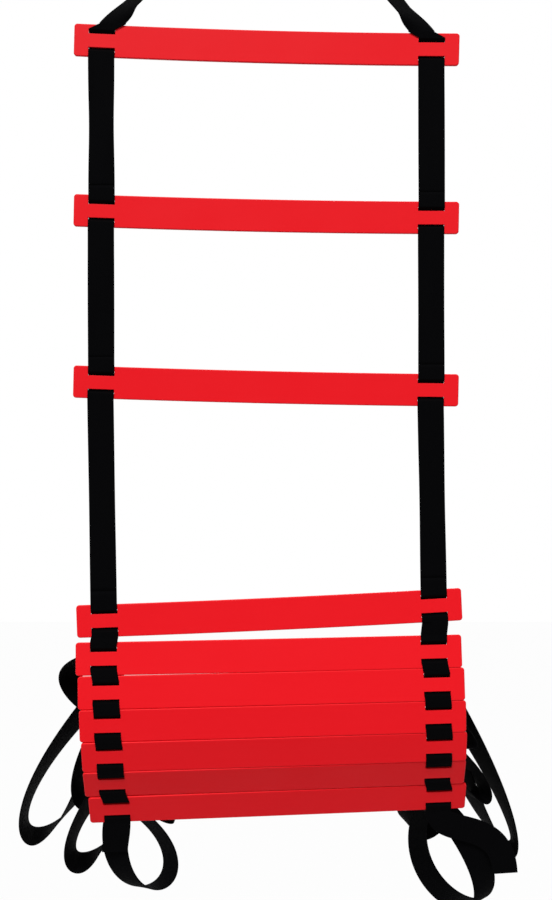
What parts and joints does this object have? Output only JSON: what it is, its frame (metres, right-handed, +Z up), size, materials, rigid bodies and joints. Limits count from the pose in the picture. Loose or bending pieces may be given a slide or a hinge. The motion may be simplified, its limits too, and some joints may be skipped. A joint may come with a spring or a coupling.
{
  "type": "agility ladder",
  "caption": "Hanging agility ladder: flat moulded rungs threaded on two webbing rails that meet at a ring. The lower rungs are slid together, with slack loops behind.",
  "frame": {"origin": "inside of the ring's top, where a hook carries the ladder", "axes": "+Z up along the hanging ladder, -Y towards the side that the picture shows, +X to that side's right"},
  "size_m": [0.6042, 0.1766, 1.2697],
  "materials": {
    "red_polypropylene": "fine moulded matte",
    "black_webbing": "woven matte",
    "steel_wire": "satin"
  },
  "bodies": {
    "ring": {"d_ring": "steel_wire"},
    "head": {"ring_tab": "black_webbing", "head_left_strap": "black_webbing", "head_right_strap": "black_webbing"},
    "slat_1": {"rung_01": "red_polypropylene", "web_left_01": "black_webbing", "web_right_01": "black_webbing"},
    "bay_1": {"bay_left_01": "black_webbing", "bay_right_01": "black_webbing"},
    "slat_2": {"rung_02": "red_polypropylene", "web_left_02": "black_webbing", "web_right_02": "black_webbing"},
    "bay_2": {"bay_left_02": "black_webbing", "bay_right_02": "black_webbing"},
    "slat_3": {"rung_03": "red_polypropylene", "web_left_03": "black_webbing", "web_right_03": "black_webbing"},
    "bay_3": {"bay_left_03": "black_webbing", "bay_right_03": "black_webbing"},
    "slat_4": {"rung_04": "red_polypropylene", "web_left_04": "black_webbing", "web_right_04": "black_webbing"},
    "bay_4": {"bay_left_04": "black_webbing", "bay_right_04": "black_webbing"},
    "slat_5": {"rung_05": "red_polypropylene", "web_left_05": "black_webbing", "web_right_05": "black_webbing"},
    "link_5": {"link_left_05": "black_webbing", "link_right_05": "black_webbing"},
    "slat_6": {"rung_06": "red_polypropylene", "web_left_06": "black_webbing", "web_right_06": "black_webbing"},
    "link_6": {"link_left_06": "black_webbing", "link_right_06": "black_webbing"},
    "slat_7": {"rung_07": "red_polypropylene", "web_left_07": "black_webbing", "web_right_07": "black_webbing"},
    "link_7": {"link_left_07": "black_webbing", "link_right_07": "black_webbing"},
    "slat_8": {"rung_08": "red_polypropylene", "web_left_08": "black_webbing", "web_right_08": "black_webbing"},
    "link_8": {"link_left_08": "black_webbing", "link_right_08": "black_webbing"},
    "slat_9": {"rung_09": "red_polypropylene", "web_left_09": "black_webbing", "web_right_09": "black_webbing"},
    "link_9": {"link_left_09": "black_webbing", "link_right_09": "black_webbing"},
    "slat_10": {"rung_10": "red_polypropylene", "web_left_10": "black_webbing", "web_right_10": "black_webbing"}
  },
  "joints": [
    {"name": "head_swing", "type": "hinge", "parent": "ring", "child": "head", "pos_m": [0, 0, -0.026], "axis": [1, 0, 0], "range_deg": [-85, 85]},
    {"name": "rung_1_tilt", "type": "hinge", "parent": "head", "child": "slat_1", "pos_m": [-0.00775, 0, -0.2555], "axis": [-0.9997, 0, 0.0258], "range_deg": [-50, 85]},
    {"name": "fold_1_top", "type": "hinge", "parent": "slat_1", "child": "bay_1", "pos_m": [-0.00865, 0, -0.29049], "axis": [0.9997, 0, -0.0258], "range_deg": [-85, 72]},
    {"name": "fold_1_bottom", "type": "hinge", "parent": "bay_1", "child": "slat_2", "pos_m": [-0.00822, 0, -0.44211], "axis": [0.9998, 0, -0.0202], "range_deg": [-85, 85]},
    {"name": "fold_2_top", "type": "hinge", "parent": "slat_2", "child": "bay_2", "pos_m": [-0.00898, 0, -0.47951], "axis": [-0.9998, 0, 0.0202], "range_deg": [-85, 85]},
    {"name": "fold_2_bottom", "type": "hinge", "parent": "bay_2", "child": "slat_3", "pos_m": [-0.0086, 0, -0.63391], "axis": [-0.9997, 0, 0.023], "range_deg": [-85, 85]},
    {"name": "fold_3_top", "type": "hinge", "parent": "slat_3", "child": "bay_3", "pos_m": [-0.00946, 0, -0.6713], "axis": [0.9997, 0, -0.023], "range_deg": [-85, 85]},
    {"name": "fold_3_bottom", "type": "hinge", "parent": "bay_3", "child": "slat_4", "pos_m": [-0.00548, 0, -0.88699], "axis": [0.9989, 0.0209, 0.0427], "range_deg": [-85, 85]},
    {"name": "fold_4_top", "type": "hinge", "parent": "slat_4", "child": "bay_4", "pos_m": [-0.00386, -0.00127, -0.92434], "axis": [-0.9989, -0.0209, -0.0427], "range_deg": [-85, 85]},
    {"name": "slide_5", "type": "slide", "parent": "bay_4", "child": "slat_5", "axis": [0.0199, -0.1041, -0.9944], "range_m": [0, 0.3], "deforming": ["web_left_05", "web_right_05"]},
    {"name": "fold_5", "type": "hinge", "parent": "slat_5", "child": "link_5", "pos_m": [-0.00473, -0.0051, -0.9705], "axis": [0.9995, 0.0244, 0.0175], "range_deg": [-45, 2]},
    {"name": "slide_6", "type": "slide", "parent": "link_5", "child": "slat_6", "axis": [0.0211, -0.0692, -0.9974], "range_m": [0, 0.3], "deforming": ["web_left_06", "web_right_06"]},
    {"name": "fold_6", "type": "hinge", "parent": "slat_6", "child": "link_6", "pos_m": [-0.00168, -0.00765, -1.00721], "axis": [0.9994, 0.0279, 0.0192], "range_deg": [-45, 1]},
    {"name": "slide_7", "type": "slide", "parent": "link_6", "child": "slat_7", "axis": [0.0178, 0.0704, -0.9974], "range_m": [0, 0.3], "deforming": ["web_left_07", "web_right_07"]},
    {"name": "fold_7", "type": "hinge", "parent": "slat_7", "child": "link_7", "pos_m": [0, -0.00506, -1.04391], "axis": [0.9993, 0.0314, 0.0201], "range_deg": [-45, 1]},
    {"name": "slide_8", "type": "slide", "parent": "link_7", "child": "slat_8", "axis": [0.0113, 0.2762, -0.961], "range_m": [0, 0.3], "deforming": ["web_left_08", "web_right_08"]},
    {"name": "fold_8", "type": "hinge", "parent": "slat_8", "child": "link_8", "pos_m": [0.00162, 0.00511, -1.07927], "axis": [0.9992, 0.0349, 0.0218], "range_deg": [-45, 1]},
    {"name": "slide_9", "type": "slide", "parent": "link_8", "child": "slat_9", "axis": [0.0019, 0.5004, -0.8658], "range_m": [0, 0.3], "deforming": ["web_left_09", "web_right_09"]},
    {"name": "fold_9", "type": "hinge", "parent": "slat_9", "child": "link_9", "pos_m": [0.00189, 0.02352, -1.11113], "axis": [0.999, 0.0384, 0.0244], "range_deg": [-45, 2]},
    {"name": "slide_10", "type": "slide", "parent": "link_9", "child": "slat_10", "axis": [0.0068, 0.4233, -0.906], "range_m": [0, 0.3], "deforming": ["web_left_10", "web_right_10"]}
  ]
}
